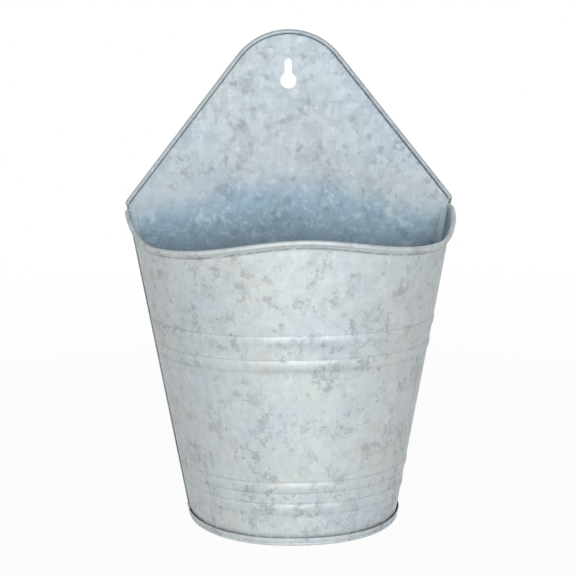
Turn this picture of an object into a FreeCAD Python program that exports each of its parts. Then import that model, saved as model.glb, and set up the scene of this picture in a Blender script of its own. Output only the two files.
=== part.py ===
"""Wall planter of thin galvanised sheet, in millimetres.

A flat back panel with a gable top hangs on a nail by its keyhole.  A tapered D-section shell
is seamed to the panel's front and stands in a clasped base pan.  The panel's gable edge and
the shell's wavy rim are each rolled over a steel wire.

Frame: +Z is up, the flat back lies in an XZ plane and the bowed front faces -Y.  The origin
is under the middle of the planter's bounding box, on the surface that it stands on.
"""
import FreeCAD, Part
import math
import os

import Sketcher
from FreeCAD import Placement, Rotation, Vector

# Driving dimensions: alias, value, what it is.
SIZES = [
    ("overall_height", 300.0, "from the base to the top of the gable"),
    ("back_offset", 57.1, "the back's distance behind the origin, half of the depth"),
    ("sheet_gauge", 0.5, "thickness of the galvanised sheet"),
    ("lap_gap", 0.1, "space between sheets that lie on each other"),
    ("base_half_width", 64.2, "half width of the shell at the base"),
    ("base_depth", 87.1, "depth of the shell at the base"),
    ("base_fullness", 2.20, "squareness of the shell's section at the base"),
    ("top_half_width", 99.8, "half width of the shell at the top level"),
    ("top_depth", 112.4, "depth of the shell at the top level"),
    ("top_fullness", 2.52, "squareness of the shell's section at the top level"),
    ("top_level", 195.0, "height at which the top section is measured"),
    ("corner_height", 190.0, "height of the rim where it meets the back"),
    ("valley_height", 175.2, "lowest height of the rim, at the front corners"),
    ("crest_height", 183.6, "height of the rim at the middle of the front"),
    ("side_run", 70.0, "depth over which the rim falls from the back"),
    ("front_run", 81.0, "half width over which the rim rises at the front"),
    ("rib_width", 6.6, "height of one swaged rib"),
    ("rib_rise", 0.9, "how far a rib stands out"),
    ("rib_fade", 30.0, "depth over which a rib dies out towards the side seam"),
    ("wire_radius", 0.95, "radius of the stiffening wires"),
    ("wire_gap", 0.1, "space between a wire and the sheet rolled round it"),
    ("hem_radius", 1.5, "outer radius of the rolled hems"),
    ("hem_inset", 0.05, "space between the gable's hem and the wall"),
    ("rim_stand_off", 1.2, "rim wire's distance outside the shell"),
    ("rim_tuck", 3.0, "how far the rim's rolled edge reaches down the shell"),
    ("gable_radius", 38.5, "radius of the gable wire round the top"),
    ("gable_half_width", 99.6, "half width between the gable wire's two ends"),
    ("gable_foot", 194.6, "height of the gable wire's two ends"),
    ("gable_turn", 3.0, "radius in which the gable wire turns down at its ends"),
    ("lip_depth", 4.5, "how far the panel's side lips reach forward"),
    ("lip_slack", 0.6, "space between a side lip and the shell"),
    ("seam_flange", 4.5, "width of the shell's inturned side flanges"),
    ("keyhole_height", 268.8, "height of the keyhole's round hole"),
    ("keyhole_radius", 5.0, "radius of the keyhole's round hole"),
    ("slot_radius", 2.35, "half width of the keyhole's slot"),
    ("slot_rise", 11.0, "from the round hole's centre to the slot's end centre"),
    ("floor_height", 4.7, "height of the floor that the plant pot stands on"),
    ("clasp_height", 4.8, "height of the pan's edge outside the shell"),
    ("clasp_slack", 0.85, "space between the shell and the pan's edge outside it"),
    ("pan_lock_height", 3.5, "height of the panel's fold inside the pan"),
    ("pan_lock_half", 58.0, "half width of the panel's fold inside the pan"),
]
RIB_HEIGHTS = [("rib_one", 22.8), ("rib_two", 36.0), ("rib_three", 110.8), ("rib_four", 125.2)]

PLAN_STEPS = 20        # points that fix the curve of one D-section
HEM_STATIONS = 32      # sections along the rolled rim
CAP_STEPS = 24         # grid of the surface that cuts the shell's wavy edge
CAP_REACH = 1.2        # that surface's size, as a share of the shell's own
CAP_BEHIND = 10.0      # how far it reaches behind the wall
RIM_ROUNDS = 8         # rounds that settle the rim's height at one angle
SHOULDER = -20.0       # degrees from level at which the rolled rim turns into its tuck

doc = FreeCAD.newDocument("wall_planter")
sizes = doc.addObject("Spreadsheet::Sheet", "sizes")
for row, (alias, value, _note) in enumerate(SIZES + [(n, z, "") for n, z in RIB_HEIGHTS], start=1):
    sizes.set(f"A{row}", alias)
    sizes.set(f"B{row}", str(value))
    sizes.setAlias(f"B{row}", alias)
doc.recompute()


def size(alias):
    return float(getattr(sizes, alias))


# ---------------------------------------------------------------- the shell's form

def blend(low, high, height):
    """Size at a height, between its value at the base and at the top level."""
    return low + (high - low) * height / size("top_level")


def shell_front():
    """Y of the face where the shell meets the back panel, measured from the wall."""
    return -(size("sheet_gauge") + size("lap_gap"))


def plan_point(angle, height):
    """Point of the shell's outside and its outward normal, for an angle from 0 to pi."""
    half_width = blend(size("base_half_width"), size("top_half_width"), height)
    depth = blend(size("base_depth"), size("top_depth"), height)
    fullness = blend(size("base_fullness"), size("top_fullness"), height)
    across, out = math.cos(angle), math.sin(angle)
    reach = (abs(across) ** fullness + abs(out) ** fullness) ** (-1 / fullness)
    x = half_width * across * reach
    y = -depth * out * reach
    slope_x = math.copysign(abs(x / half_width) ** (fullness - 1) / half_width, x)
    slope_y = -abs(y / depth) ** (fullness - 1) / depth
    normal = Vector(slope_x, slope_y, 0).normalize()
    return Vector(x, y + shell_front(), height), normal


def plan_curve(height, offset, swage=0.0):
    """Curve of the D-section from side to side, offset outwards and swaged out as a rib."""
    angles = [math.pi * step / PLAN_STEPS for step in range(PLAN_STEPS + 1)]
    points = []
    for angle in angles:
        point, normal = plan_point(angle, height)
        depth = shell_front() - point.y
        fade = min(max((depth - size("lip_depth")) / size("rib_fade"), 0.0), 1.0)
        points.append(point + normal * (offset + swage * fade))
    forward = Vector(0, -blend(size("base_depth"), size("top_depth"), height), 0)
    curve = Part.BSplineCurve()
    curve.interpolate(Points=points, Parameters=angles, InitialTangent=forward,
                      FinalTangent=-forward, Scale=False)
    return curve


def section_wire(height, offset):
    """Closed D-section at one height, straight along the panel."""
    curve = plan_curve(height, offset)
    return Part.Wire([curve.toShape(), Part.makeLine(curve.EndPoint, curve.StartPoint)])


def band_face(curves):
    """Face straight between two D-sections, or bowed out as a rib through three."""
    rows = [curve.getPoles() for curve in curves]
    if len(rows) == 3:
        rows[1] = [middle * 2 - (low + high) * 0.5 for low, middle, high in zip(*rows)]
    curve = curves[0]
    order = len(rows)
    surface = Part.BSplineSurface()
    surface.buildFromPolesMultsKnots(list(zip(*rows)), curve.getMultiplicities(),
                                     [order, order], curve.getKnots(), [0.0, 1.0],
                                     False, False, curve.Degree, order - 1)
    return surface.toShape()


def band_curves(low, high, offset, swage):
    """D-sections that one band of the wall's inside or outside passes through."""
    if not swage:
        return [plan_curve(low, offset), plan_curve(high, offset)]
    middle = plan_curve((low + high) / 2, offset, swage)
    return [plan_curve(low, offset), middle, plan_curve(high, offset)]


def end_face(outside, inside, end):
    """Flat face that closes the sheet's thickness between two curves' ends."""
    corners = [getattr(curve, end) for curve in (outside[0], outside[-1], inside[-1], inside[0])]
    return Part.Face(Part.makePolygon(corners + corners[:1]))


def level_face(outside, inside):
    """Flat face that closes the sheet's thickness at one level."""
    ends = [Part.makeLine(outside.EndPoint, inside.EndPoint),
            Part.makeLine(inside.StartPoint, outside.StartPoint)]
    return Part.Face(Part.Wire([outside.toShape(), ends[0], inside.toShape(), ends[1]]))


def make_wall(bottom, top):
    """Sheet wall between two levels, with its ribs."""
    half = size("rib_width") / 2
    levels = [bottom]
    for alias, _value in RIB_HEIGHTS:
        levels += [size(alias) - half, size(alias) + half]
    levels.append(top)
    faces = []
    for index, (low, high) in enumerate(zip(levels, levels[1:])):
        swage = size("rib_rise") * (index % 2)
        outside = band_curves(low, high, 0, swage)
        inside = band_curves(low, high, -size("sheet_gauge"), swage)
        faces += [band_face(outside), band_face(inside)]
        faces += [end_face(outside, inside, end) for end in ("StartPoint", "EndPoint")]
        if low == bottom:
            faces.append(level_face(outside[0], inside[0]))
        if high == top:
            faces.append(level_face(outside[-1], inside[-1]))
    shell = Part.makeShell(faces)
    shell.sewShape()
    solid = Part.makeSolid(shell)
    return solid if solid.Volume > 0 else solid.reversed()


def side_flange(bottom, top, side):
    """Strip of the wall's sheet turned inwards along the panel, on one side."""
    gauge = size("sheet_gauge")
    wires = []
    for height in (bottom, top):
        edge = plan_point(0, height)[0].x - gauge / 2
        inner = edge - gauge / 2 - size("seam_flange")
        back = shell_front()
        corners = [(edge, back), (inner, back), (inner, back - gauge), (edge, back - gauge)]
        wires.append(Part.makePolygon([Vector(side * x, y, height)
                                       for x, y in corners + corners[:1]]))
    return Part.makeLoft(wires, True, True)


# ---------------------------------------------------------------- the wavy rim

def wave(part_of_run):
    """Smooth fall from 1 to 0 as part_of_run goes from 0 to 1 or beyond."""
    return (1 + math.cos(math.pi * min(abs(part_of_run), 1.0))) / 2


def rim_height(x, y):
    """Height of the rim: high at the back, low at the front corners, raised in front."""
    side_rise = size("corner_height") - size("valley_height")
    front_rise = size("crest_height") - size("valley_height")
    side = wave((y - shell_front()) / size("side_run"))
    front = wave(x / size("front_run")) if -y > size("side_run") else 0.0
    return size("valley_height") + side_rise * side + front_rise * front


def rim_point(angle):
    """Centre of the rim's wire, and the direction in which the wall rises there."""
    height = size("crest_height")
    for _ in range(RIM_ROUNDS):
        point, normal = plan_point(angle, height)
        height = rim_height(point.x, point.y)
    point, normal = plan_point(angle, height)
    upward = point - plan_point(angle, height - 1)[0]
    return point + normal * size("rim_stand_off"), upward


def rim_frame(angle):
    """Centre of the rim at an angle, with its outward and upward directions."""
    step = 0.002
    centre, upward = rim_point(angle)
    along = rim_point(angle + step)[0] - rim_point(angle - step)[0]
    along.normalize()
    outward = upward.cross(along).normalize()
    if outward.dot(Vector(centre.x, centre.y, 0)) < 0:
        outward = outward * -1
    up = along.cross(outward).normalize()
    if up.z < 0:
        up = up * -1
    return centre, outward, up


def hem_outline(angle):
    """Section of the rolled rim: a round roll whose edge is tucked down the wall."""
    centre, outward, up = rim_frame(angle)
    radius = size("hem_radius")
    tuck = size("rim_tuck")
    inner = -radius
    outer_foot = inner + size("sheet_gauge") / 2

    def at(out, rise):
        return centre + outward * out + up * rise

    diagonal = radius * math.sqrt(0.5)
    lean = math.radians(SHOULDER)
    shoulder = (radius * math.cos(lean), radius * math.sin(lean))
    roll = Part.Arc(at(inner, 0), at(-diagonal, diagonal), at(0, radius)).toShape()
    face = Part.Arc(at(0, radius), at(diagonal, diagonal), at(*shoulder)).toShape()
    tuck_line = Part.makeLine(at(*shoulder), at(outer_foot, -tuck))
    foot = Part.makeLine(at(outer_foot, -tuck), at(inner, -tuck))
    side = Part.makeLine(at(inner, -tuck), at(inner, 0))
    return Part.Wire([roll, face, tuck_line, foot, side])


def round_outline(angle, radius):
    """Circle about the rim's wire at an angle."""
    centre, outward, up = rim_frame(angle)
    return Part.Wire([Part.Circle(centre, outward.cross(up), radius).toShape()])


def rim_angles():
    """Angles of the rim's sections, from one side lip to the other."""
    lip_front = size("lip_depth") + size("lap_gap") + shell_front()
    start = lip_front / size("top_depth")
    span = math.pi - 2 * start
    return [start + span * step / HEM_STATIONS for step in range(HEM_STATIONS + 1)]


def rim_tube(radius):
    """Round rod along the rim, of the given radius."""
    return Part.makeLoft([round_outline(angle, radius) for angle in rim_angles()], True)


def cap_tool():
    """Block whose underside is the wave that the shell's upper edge is cut to."""
    reach_x = size("top_half_width") * CAP_REACH
    reach_y = size("top_depth") * CAP_REACH
    rows = []
    for row in range(CAP_STEPS + 1):
        y = CAP_BEHIND - (reach_y + CAP_BEHIND) * row / CAP_STEPS
        line = []
        for column in range(CAP_STEPS + 1):
            x = reach_x * (2 * column / CAP_STEPS - 1)
            line.append(Vector(x, y, rim_height(x, y)))
        rows.append(line)
    surface = Part.BSplineSurface()
    surface.interpolate(rows)
    return surface.toShape().extrude(Vector(0, 0, size("overall_height")))


# ---------------------------------------------------------------- sketch helpers

def new_body(name):
    body = doc.addObject("PartDesign::Body", name)
    body.Label = name
    return body


def new_sketch(body, name, role, offset="0"):
    """Sketch on one of the body's own origin planes, moved along the plane's normal."""
    sketch = body.newObject("Sketcher::SketchObject", name)
    plane = next(f for f in body.Origin.OriginFeatures if f.Role == role)
    sketch.AttachmentSupport = [(plane, "")]
    sketch.MapMode = "FlatFace"
    sketch.setExpression(".AttachmentOffset.Base.z", offset)
    return sketch


def number(sketch, expression):
    return float(sketch.evalExpression(expression))


def dimension(sketch, name, expression, kind, *points):
    """Named dimension bound to the sheet; a distance from the origin may be negative."""
    value = number(sketch, expression)
    if value < 0:
        points = points[2:] + points[:2]
        value, expression = -value, f"-({expression})"
    index = sketch.addConstraint(Sketcher.Constraint(kind, *points, value))
    sketch.renameConstraint(index, name)
    sketch.setExpression(f"Constraints.{name}", expression)


def place(sketch, name, edge, point, x, y):
    """Fix one point of an edge at expressions x and y from the sketch's origin."""
    dimension(sketch, f"{name}_x", x, "DistanceX", -1, 1, edge, point)
    dimension(sketch, f"{name}_y", y, "DistanceY", -1, 1, edge, point)


def polygon(sketch, name, corners):
    """Closed polygon whose corners are pairs of expressions."""
    ends = [Vector(number(sketch, x), number(sketch, y), 0) for x, y in corners]
    edges = [sketch.addGeometry(Part.LineSegment(a, b), False)
             for a, b in zip(ends, ends[1:] + ends[:1])]
    for first, second in zip(edges, edges[1:] + edges[:1]):
        sketch.addConstraint(Sketcher.Constraint("Coincident", first, 2, second, 1))
    for index, (edge, (x, y)) in enumerate(zip(edges, corners)):
        place(sketch, f"{name}_{index}", edge, 1, x, y)


def disc(sketch, name, x, y, radius):
    """Circle with its centre at expressions x and y."""
    centre = Vector(number(sketch, x), number(sketch, y), 0)
    circle = Part.Circle(centre, Vector(0, 0, 1), number(sketch, radius))
    edge = sketch.addGeometry(circle, False)
    place(sketch, name, edge, 3, x, y)
    dimension(sketch, f"{name}_radius", radius, "Radius", edge)


def pad(body, name, sketch, length, symmetric=False):
    feature = body.newObject("PartDesign::Pad", name)
    feature.Profile = sketch
    feature.setExpression("Length", length)
    feature.Midplane = symmetric
    return feature


# ---------------------------------------------------------------- gable edge

GABLE_CENTRE = "sizes.overall_height - sizes.hem_radius - sizes.gable_radius"
GABLE_PLANE = "sizes.hem_radius + sizes.hem_inset"


def arc_edge(sketch, centre, radius, start, end):
    circle = Part.Circle(centre, Vector(0, 0, 1), radius)
    return sketch.addGeometry(Part.ArcOfCircle(circle, start, end), False)


def gable_run(sketch):
    """The gable wire's line: a turn, a straight, the top arc, a straight and a turn."""
    turn, big = size("gable_turn"), size("gable_radius")
    foot_x, foot_z = size("gable_half_width"), size("gable_foot")
    low = Vector(foot_x - turn, foot_z, 0)
    left = Vector(-low.x, low.y, 0)
    top = Vector(0, number(sketch, GABLE_CENTRE), 0)
    reach = top - low
    lean = math.atan2(reach.y, reach.x) - math.acos((turn - big) / reach.Length)
    facing = Vector(math.cos(lean), math.sin(lean), 0)
    mirrored = Vector(-facing.x, facing.y, 0)

    first = arc_edge(sketch, low, turn, 0, lean)
    rise = Part.LineSegment(low + facing * turn, top + facing * big)
    second = sketch.addGeometry(rise, False)
    third = arc_edge(sketch, top, big, lean, math.pi - lean)
    fall = Part.LineSegment(top + mirrored * big, left + mirrored * turn)
    fourth = sketch.addGeometry(fall, False)
    fifth = arc_edge(sketch, left, turn, math.pi - lean, math.pi)
    edges = [first, second, third, fourth, fifth]
    for before, after in zip(edges, edges[1:]):
        sketch.addConstraint(Sketcher.Constraint("Tangent", before, 2, after, 1))
    sketch.addConstraint(Sketcher.Constraint("Equal", first, fifth))
    sketch.addConstraint(Sketcher.Constraint("PointOnObject", third, 3, -2))
    sketch.addConstraint(Sketcher.Constraint("Horizontal", first, 1, first, 3))
    sketch.addConstraint(Sketcher.Constraint("Horizontal", fifth, 2, fifth, 3))
    sketch.addConstraint(Sketcher.Constraint("Symmetric", first, 1, fifth, 2, -2))
    place(sketch, "foot", first, 1, "sizes.gable_half_width", "sizes.gable_foot")
    dimension(sketch, "turn", "sizes.gable_turn", "Radius", first)
    dimension(sketch, "top_radius", "sizes.gable_radius", "Radius", third)
    dimension(sketch, "top_centre", GABLE_CENTRE, "DistanceY", -1, 1, third, 3)
    return edges


def gable_sweep(body, name, kind, radius):
    """Round rod or bore along the gable's edge."""
    path = new_sketch(body, f"{name}_path", "XZ_Plane", GABLE_PLANE)
    gable_run(path)
    profile = new_sketch(body, f"{name}_profile", "XY_Plane", "sizes.gable_foot")
    disc(profile, "round", "sizes.gable_half_width", f"-({GABLE_PLANE})", radius)
    sweep = body.newObject(kind, name)
    sweep.Profile = profile
    sweep.Spine = (path, [])
    return sweep


# ---------------------------------------------------------------- back panel

def side_reach(height):
    """Half the panel's width at a height: the outside of its side lips."""
    return (f"(sizes.base_half_width + (sizes.top_half_width - sizes.base_half_width)"
            f" * ({height}) / sizes.top_level + sizes.lip_slack + sizes.sheet_gauge)")


def make_back_panel():
    """Flat sheet with a gable, its edge rolled forward and its sides bent into lips."""
    body = new_body("back_panel")
    face = new_sketch(body, "panel_outline", "XZ_Plane")
    edges = gable_run(face)
    foot = "sizes.gable_foot"
    corners = [("-sizes.gable_half_width", foot), (f"-{side_reach(foot)}", foot),
               (f"-{side_reach('0')}", "0"), (side_reach("0"), "0"),
               (side_reach(foot), foot), ("sizes.gable_half_width", foot)]
    points = [Vector(number(face, x), number(face, y), 0) for x, y in corners]
    last = edges[-1]
    for index, (start, end) in enumerate(zip(points, points[1:])):
        edge = face.addGeometry(Part.LineSegment(start, end), False)
        face.addConstraint(Sketcher.Constraint("Coincident", last, 2, edge, 1))
        if index:
            place(face, f"corner_{index}", edge, 1, *corners[index])
        last = edge
    face.addConstraint(Sketcher.Constraint("Coincident", last, 2, edges[0], 1))
    pad(body, "sheet", face, "sizes.sheet_gauge")

    gable_sweep(body, "gable_hem", "PartDesign::AdditivePipe", "sizes.hem_radius")

    lips = new_sketch(body, "lip_outline", "XZ_Plane")
    low = "sizes.clasp_height + sizes.lap_gap"
    for name, sign in (("right", ""), ("left", "-")):
        inner = "({} - sizes.sheet_gauge)"
        polygon(lips, name, [(sign + inner.format(side_reach(low)), low),
                             (sign + side_reach(low), low),
                             (sign + side_reach(foot), foot),
                             (sign + inner.format(side_reach(foot)), foot)])
    pad(body, "side_lips", lips, "sizes.lip_depth")

    lock = new_sketch(body, "lock_profile", "YZ_Plane")
    gauge, height = "sizes.sheet_gauge", "sizes.pan_lock_height"
    back = "-(2 * sizes.sheet_gauge + 2 * sizes.lap_gap)"
    front = "-(3 * sizes.sheet_gauge + 2 * sizes.lap_gap)"
    polygon(lock, "fold", [("0", "0"), (front, "0"), (front, height), (back, height),
                           (back, gauge), ("0", gauge)])
    pad(body, "pan_lock", lock, "2 * sizes.pan_lock_half", symmetric=True)

    gable_sweep(body, "wire_bore", "PartDesign::SubtractivePipe",
                "sizes.wire_radius + sizes.wire_gap")
    cut_keyhole(body)
    return body


def cut_keyhole(body):
    """Round hole for a screw's head with a slot above it for the shank."""
    sketch = new_sketch(body, "keyhole", "XZ_Plane")
    radius, half = size("keyhole_radius"), size("slot_radius")
    hole = Vector(0, size("keyhole_height"), 0)
    end = hole + Vector(0, size("slot_rise"), 0)
    lean = math.acos(half / radius)
    rise = radius * math.sin(lean)
    round_hole = arc_edge(sketch, hole, radius, math.pi - lean, 2 * math.pi + lean)
    right = sketch.addGeometry(Part.LineSegment(hole + Vector(half, rise, 0),
                                                end + Vector(half, 0, 0)), False)
    top = arc_edge(sketch, end, half, 0, math.pi)
    left = sketch.addGeometry(Part.LineSegment(end - Vector(half, 0, 0),
                                               hole + Vector(-half, rise, 0)), False)
    sketch.addConstraint(Sketcher.Constraint("Coincident", round_hole, 2, right, 1))
    sketch.addConstraint(Sketcher.Constraint("Tangent", right, 2, top, 1))
    sketch.addConstraint(Sketcher.Constraint("Tangent", top, 2, left, 1))
    sketch.addConstraint(Sketcher.Constraint("Coincident", left, 2, round_hole, 1))
    sketch.addConstraint(Sketcher.Constraint("Vertical", right))
    sketch.addConstraint(Sketcher.Constraint("PointOnObject", round_hole, 3, -2))
    sketch.addConstraint(Sketcher.Constraint("PointOnObject", top, 3, -2))
    dimension(sketch, "hole_radius", "sizes.keyhole_radius", "Radius", round_hole)
    dimension(sketch, "slot_radius", "sizes.slot_radius", "Radius", top)
    dimension(sketch, "hole_height", "sizes.keyhole_height", "DistanceY", -1, 1, round_hole, 3)
    dimension(sketch, "slot_height", "sizes.keyhole_height + sizes.slot_rise", "DistanceY",
              -1, 1, top, 3)
    cut = body.newObject("PartDesign::Pocket", "keyhole_cut")
    cut.Profile = sketch
    cut.setExpression("Length", "4 * sizes.sheet_gauge")
    cut.Midplane = True
    return cut


def make_gable_wire():
    """Steel wire inside the rolled edge of the gable."""
    body = new_body("gable_wire")
    gable_sweep(body, "gable_rod", "PartDesign::AdditivePipe", "sizes.wire_radius")
    return body


# ---------------------------------------------------------------- shell, rim wire and pan

def new_feature(name, shape):
    feature = doc.addObject("Part::Feature", name)
    feature.Label = name
    feature.Shape = shape
    return feature


def make_front_shell():
    """Tapered sheet wall with two pairs of ribs and a wavy rim rolled over a wire."""
    top = size("corner_height") + size("hem_radius")
    foot = size("clasp_height") + size("lap_gap")
    wall = make_wall(size("sheet_gauge") + size("lap_gap"), top)
    wall = wall.fuse([side_flange(foot, top, side) for side in (-1, 1)]).cut(cap_tool())
    hem = Part.makeLoft([hem_outline(angle) for angle in rim_angles()], True)
    bore = rim_tube(size("wire_radius") + size("wire_gap"))
    shell = wall.fuse(hem).cut(bore)
    return new_feature("front_shell", shell)


def make_rim_wire():
    """Steel wire inside the rolled rim."""
    return new_feature("rim_wire", rim_tube(size("wire_radius")))


def clasp_outline(angle):
    """Section of the pan's edge, down inside the shell, under it and up outside it.

    It reaches below the base, to be cut off flat there.
    """
    gauge, slack = size("sheet_gauge"), size("clasp_slack")
    floor, clasp = size("floor_height"), size("clasp_height")
    skirt = -(gauge + size("lap_gap"))
    inner, outer = skirt - gauge, slack + gauge
    profile = [(inner, -gauge), (outer, -gauge), (outer, clasp), (slack, clasp), (slack, gauge),
               (skirt, gauge), (skirt, floor), (inner, floor)]
    points = []
    for offset, height in profile:
        point, normal = plan_point(angle, height)
        points.append(point + normal * offset)
    return Part.makePolygon(points + points[:1])


def ground_block():
    """Block under the base, wider than the pan all round."""
    margin, thickness = size("base_half_width") / 2, 2 * size("sheet_gauge")
    width = 2 * (size("base_half_width") + margin)
    depth = size("base_depth") + 2 * margin
    corner = Vector(-width / 2, margin - depth, -thickness)
    return Part.makeBox(width, depth, thickness, corner)


def make_base_pan():
    """Raised floor whose edge turns down inside the shell and clasps it from outside."""
    gauge, gap, floor = size("sheet_gauge"), size("lap_gap"), size("floor_height")
    angles = [math.pi * step / PLAN_STEPS for step in range(PLAN_STEPS + 1)]
    edge = Part.makeLoft([clasp_outline(angle) for angle in angles], True)
    middle = -(gauge + gap + gauge / 2)
    levels = [floor - gauge, floor]
    tray = Part.makeLoft([section_wire(height, middle) for height in levels], True, True)
    half = size("base_half_width") + middle
    foot = gauge + gap
    back = Part.makeBox(2 * half, gauge, floor - foot, Vector(-half, shell_front() - gauge, foot))
    return new_feature("base_pan", edge.cut(ground_block()).fuse([tray, back]))


# ---------------------------------------------------------------- build and write

parts = [make_back_panel(), make_front_shell(), make_base_pan(), make_rim_wire(),
         make_gable_wire()]
for part in parts:
    part.Placement = Placement(Vector(0, size("back_offset"), 0), Rotation())
doc.recompute()

for item in doc.Objects:
    if {"Invalid", "Error"} & set(item.State):
        raise RuntimeError(f"{item.Name} failed: {item.State}")
for part in parts:
    if part.Shape.isNull() or not part.Shape.isValid():
        raise RuntimeError(f"{part.Label} has no valid shape")
    if len(part.Shape.Solids) != 1:
        raise RuntimeError(f"{part.Label} has {len(part.Shape.Solids)} solids")

os.makedirs("parts", exist_ok=True)
for part in parts:
    box = part.Shape.BoundBox
    print(f"{part.Label}: {part.Shape.Volume:.0f} mm3, x {box.XMin:.2f} {box.XMax:.2f},"
          f" y {box.YMin:.2f} {box.YMax:.2f}, z {box.ZMin:.2f} {box.ZMax:.2f}")
    part.Shape.exportStep(f"parts/{part.Label}.step")
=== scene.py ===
"""Looks of a galvanised wall planter, laid out as a Blender add-on and run as a script.

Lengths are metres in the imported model's frame: +Z is up, the flat back lies at the highest Y
and the bowed front faces -Y.  An angle round the shell's plan runs from 0 at the right-hand
seam, through a quarter turn at the middle of the front, to a half turn at the left-hand seam.
"""

import math

import bmesh
import bpy
from bpy.props import FloatProperty, FloatVectorProperty, PointerProperty
from mathutils import Matrix, Vector, noise
from mathutils.geometry import delaunay_2d_cdt


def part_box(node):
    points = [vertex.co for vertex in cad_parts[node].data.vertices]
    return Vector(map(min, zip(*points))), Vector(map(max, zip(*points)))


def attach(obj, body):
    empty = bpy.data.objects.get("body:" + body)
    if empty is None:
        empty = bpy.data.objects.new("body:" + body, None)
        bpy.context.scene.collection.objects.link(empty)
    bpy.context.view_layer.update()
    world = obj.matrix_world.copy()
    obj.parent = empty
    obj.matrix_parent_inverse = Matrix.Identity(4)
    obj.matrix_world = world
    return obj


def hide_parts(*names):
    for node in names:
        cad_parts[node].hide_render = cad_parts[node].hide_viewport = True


bl_info = {
    "name": "Galvanised wall planter",
    "version": (1, 0, 0),
    "blender": (4, 5, 0),
    "location": "3D View > Sidebar > Planter",
    "description": "Sheet-metal pieces, zinc finish and studio of a wall planter",
    "category": "Object",
}

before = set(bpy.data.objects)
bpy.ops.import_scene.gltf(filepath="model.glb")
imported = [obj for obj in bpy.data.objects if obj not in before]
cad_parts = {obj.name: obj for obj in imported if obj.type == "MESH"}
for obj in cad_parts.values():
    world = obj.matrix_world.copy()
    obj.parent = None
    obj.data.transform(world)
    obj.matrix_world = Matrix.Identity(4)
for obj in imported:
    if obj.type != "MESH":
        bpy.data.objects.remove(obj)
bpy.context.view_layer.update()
WALL_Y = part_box("back_panel")[1].y
TOP_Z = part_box("back_panel")[1].z
MM = 0.001


# ---------------- sizes and finish

def length(name, description, millimetres):
    """Property for one length, given in millimetres."""
    return FloatProperty(name=name, description=description, default=millimetres * MM,
                         unit="LENGTH", subtype="DISTANCE", precision=5)


def colour(name, description, value):
    """Property for one colour."""
    return FloatVectorProperty(name=name, description=description, default=value, size=3,
                               subtype="COLOR", min=0.0, max=1.0)


def number(name, description, value, subtype="NONE"):
    """Property for one plain number."""
    return FloatProperty(name=name, description=description, default=value, subtype=subtype)


RIB_HEIGHTS = (22.8, 36.0, 110.8, 125.2)  # of the ribs' middles, in millimetres


class PLANTER_sheet_sizes(bpy.types.PropertyGroup):
    """Sizes of the shell, the back panel and the base pan."""
    gauge: length("Sheet gauge", "Thickness of the galvanised sheet", 0.5)
    lap: length("Lap gap", "Space between sheets that lie on each other", 0.1)
    base_half_width: length("Base half width", "Half width of the shell at the base", 64.2)
    base_depth: length("Base depth", "Depth of the shell at the base", 87.1)
    base_fullness: number("Base fullness", "Squareness at the base", 2.20)
    top_half_width: length("Top half width", "Half width of the shell at the top", 99.8)
    top_depth: length("Top depth", "Depth of the shell at the top", 112.4)
    top_fullness: number("Top fullness", "Squareness at the top", 2.52)
    top_level: length("Top level", "Height at which the top section is measured", 195.0)
    corner_height: length("Rim at the back", "Height of the rim beside the panel", 190.0)
    valley_height: length("Rim at its lowest", "Height of the rim's front corners", 175.2)
    crest_height: length("Rim at the front", "Height of the rim's raised middle", 183.6)
    side_run: length("Side fall", "Depth over which the rim falls from the back", 70.0)
    front_run: length("Front rise", "Half width over which the rim rises", 81.0)
    rib_width: length("Rib width", "Height of one swaged rib", 6.6)
    rib_rise: length("Rib rise", "How far a rib stands out", 0.62)
    rib_fade: length("Rib fade", "Depth over which a rib dies out towards the seam", 30.0)
    roll_radius: length("Roll radius", "Outer radius of the wired edges", 1.5)
    rim_stand_off: length("Rim stand-off", "Rim wire's distance outside the shell", 1.2)
    gable_radius: length("Gable radius", "Radius of the gable wire round the top", 38.5)
    gable_half_width: length("Gable half width", "Half width between the wire's ends", 99.6)
    gable_foot: length("Gable foot", "Height of the wire's ends", 194.6)
    gable_turn: length("Gable turn", "Radius in which the wire turns down", 3.0)
    lip_depth: length("Lip depth", "How far the panel's side lips reach forward", 4.5)
    lip_slack: length("Lip slack", "Space between a side lip and the shell", 0.6)
    keyhole_height: length("Keyhole height", "Height of the round hole", 268.8)
    keyhole_radius: length("Keyhole radius", "Radius of the round hole", 5.0)
    slot_radius: length("Slot radius", "Half width of the keyhole's slot", 2.35)
    slot_rise: length("Slot rise", "From the round hole to the slot's end", 11.0)
    floor_height: length("Floor height", "Height of the raised floor", 4.7)
    clasp_height: length("Clasp height", "Height of the pan's outer edge", 4.8)
    dent: length("Dent depth", "Depth of the sheet's slight unevenness", 0.3)


class PLANTER_zinc_finish(bpy.types.PropertyGroup):
    """Colours and grain of the zinc coating."""
    zinc: colour("Shell zinc", "Main colour of the shell and the pan", (0.62, 0.665, 0.69))
    panel: colour("Panel zinc", "Main colour of the back panel", (0.455, 0.51, 0.555))
    smudge: colour("Smudge", "Colour of the dull smudges", (0.30, 0.325, 0.33))
    frost: colour("Frost", "Colour of the palest crystals", (0.74, 0.78, 0.80))
    warm: colour("Warm tarnish", "Tint of the faint warm patches", (1.0, 0.99, 0.955))
    cool: colour("Cool tarnish", "Tint of the faint bluish patches", (0.955, 0.965, 1.0))
    # Painted shade of the inside: a bluer, darker colour, and the darkest strokes as painted
    # dark reflections.
    inner_shade_colour: colour("Sheltered zinc", "Colour of the bluer zinc inside", (0.295, 0.41, 0.495))
    darkest_inner_shade: colour("Deep zinc", "Colour of the darkest strokes inside", (0.17, 0.25, 0.305))
    # Dark colour for dirt and for painted shade in seams, folds and creases.
    grime_and_shade: colour("Grime", "Colour of the dirt in seams and creases", (0.09, 0.11, 0.11))
    wire: colour("Wire", "Colour of the steel wires", (0.42, 0.43, 0.42))
    crystal: length("Crystal size", "Width of one zinc crystal", 4.2)


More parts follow.
